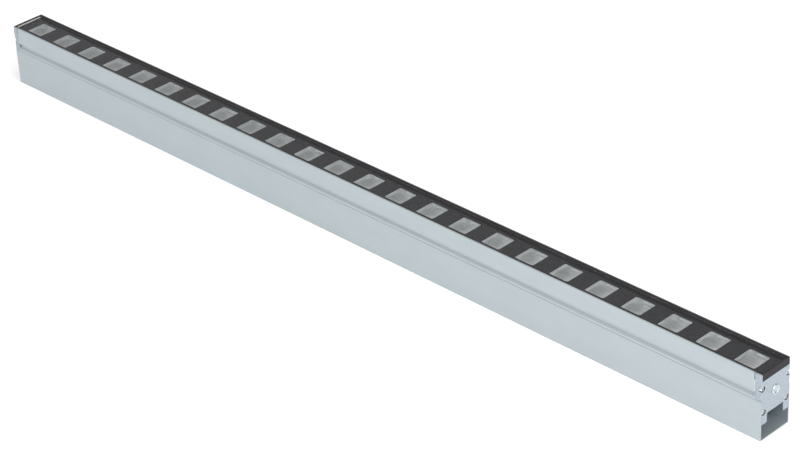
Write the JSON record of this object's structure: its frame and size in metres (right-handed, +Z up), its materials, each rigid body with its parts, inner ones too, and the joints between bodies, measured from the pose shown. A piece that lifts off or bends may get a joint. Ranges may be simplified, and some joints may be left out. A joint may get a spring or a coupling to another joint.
{
  "type": "outdoor led wall washer light",
  "caption": "Long aluminium wall washer light bar that drops into a U-shaped mounting channel, with a row of square reflector optics behind a flat glass cover.",
  "frame": {"origin": "middle of the underside of the mounting channel", "axes": "+X along the light, towards the end cap that faces the viewer in the picture; -Y the front side in the picture; +Z up, the way the light shines"},
  "size_m": [1.002, 0.038, 0.0664],
  "materials": {
    "anodised_aluminium": "satin",
    "cast_aluminium": "satin",
    "stainless_steel": "satin",
    "plug_metal": "satin",
    "cover_glass": "gloss",
    "black_sealant": "gloss",
    "black_mask": "satin",
    "reflector_metal": "satin",
    "frosted_plate": "satin",
    "lens_clear": "gloss",
    "emitter_yellow": "gloss",
    "white_board": "satin",
    "white_plastic": "matte",
    "grey_silicone": "matte",
    "green_board": "gloss",
    "standoff_plastic": "matte",
    "coil_copper": "gloss",
    "capacitor_can": "gloss",
    "black_plastic": "matte",
    "terminal_green": "satin",
    "wire_red": "satin"
  },
  "bodies": {
    "channel": {"mounting_channel": "anodised_aluminium", "spring_clip_1": "stainless_steel", "spring_clip_2": "stainless_steel", "spring_clip_3": "stainless_steel", "clip_rivets": "plug_metal"},
    "light": {"light_housing": "anodised_aluminium", "end_cap_left": "cast_aluminium", "end_cap_right": "cast_aluminium", "end_cap_screws": "stainless_steel", "board_screws": "stainless_steel", "driver_screws": "stainless_steel", "vent_plug_left": "plug_metal", "vent_plug_right": "plug_metal", "glass_cover": "cover_glass", "glass_sealant": "black_sealant", "window_mask": "black_mask", "reflector_01": "reflector_metal", "reflector_02": "reflector_metal", "reflector_03": "reflector_metal", "reflector_04": "reflector_metal", "reflector_05": "reflector_metal", "reflector_06": "reflector_metal", "reflector_07": "reflector_metal", "reflector_08": "reflector_metal", "reflector_09": "reflector_metal", "reflector_10": "reflector_metal", "reflector_11": "reflector_metal", "reflector_12": "reflector_metal", "reflector_13": "reflector_metal", "reflector_14": "reflector_metal", "reflector_15": "reflector_metal", "reflector_16": "reflector_metal", "reflector_17": "reflector_metal", "reflector_18": "reflector_metal", "reflector_19": "reflector_metal", "reflector_20": "reflector_metal", "reflector_21": "reflector_metal", "reflector_22": "reflector_metal", "reflector_23": "reflector_metal", "reflector_24": "reflector_metal", "optic_plates": "frosted_plate", "led_lenses": "lens_clear", "led_emitters": "emitter_yellow", "led_board_left": "white_board", "led_board_right": "white_board", "board_connectors": "white_plastic", "end_gaskets": "grey_silicone", "vent_seals": "grey_silicone", "heat_pads": "grey_silicone", "gland_seals": "grey_silicone", "driver_board": "green_board", "driver_standoffs": "standoff_plastic", "driver_coils": "coil_copper", "driver_capacitors": "capacitor_can", "driver_chips": "black_plastic", "gland_bodies": "black_plastic", "gland_dome_nuts": "black_plastic", "gland_lock_nuts": "black_plastic", "driver_terminal_block": "terminal_green", "feed_wires": "wire_red"}
  },
  "joints": [
    {"name": "light_lift", "type": "slide", "parent": "channel", "child": "light", "axis": [0, 0, 1], "range_m": [0, 0.035]}
  ]
}
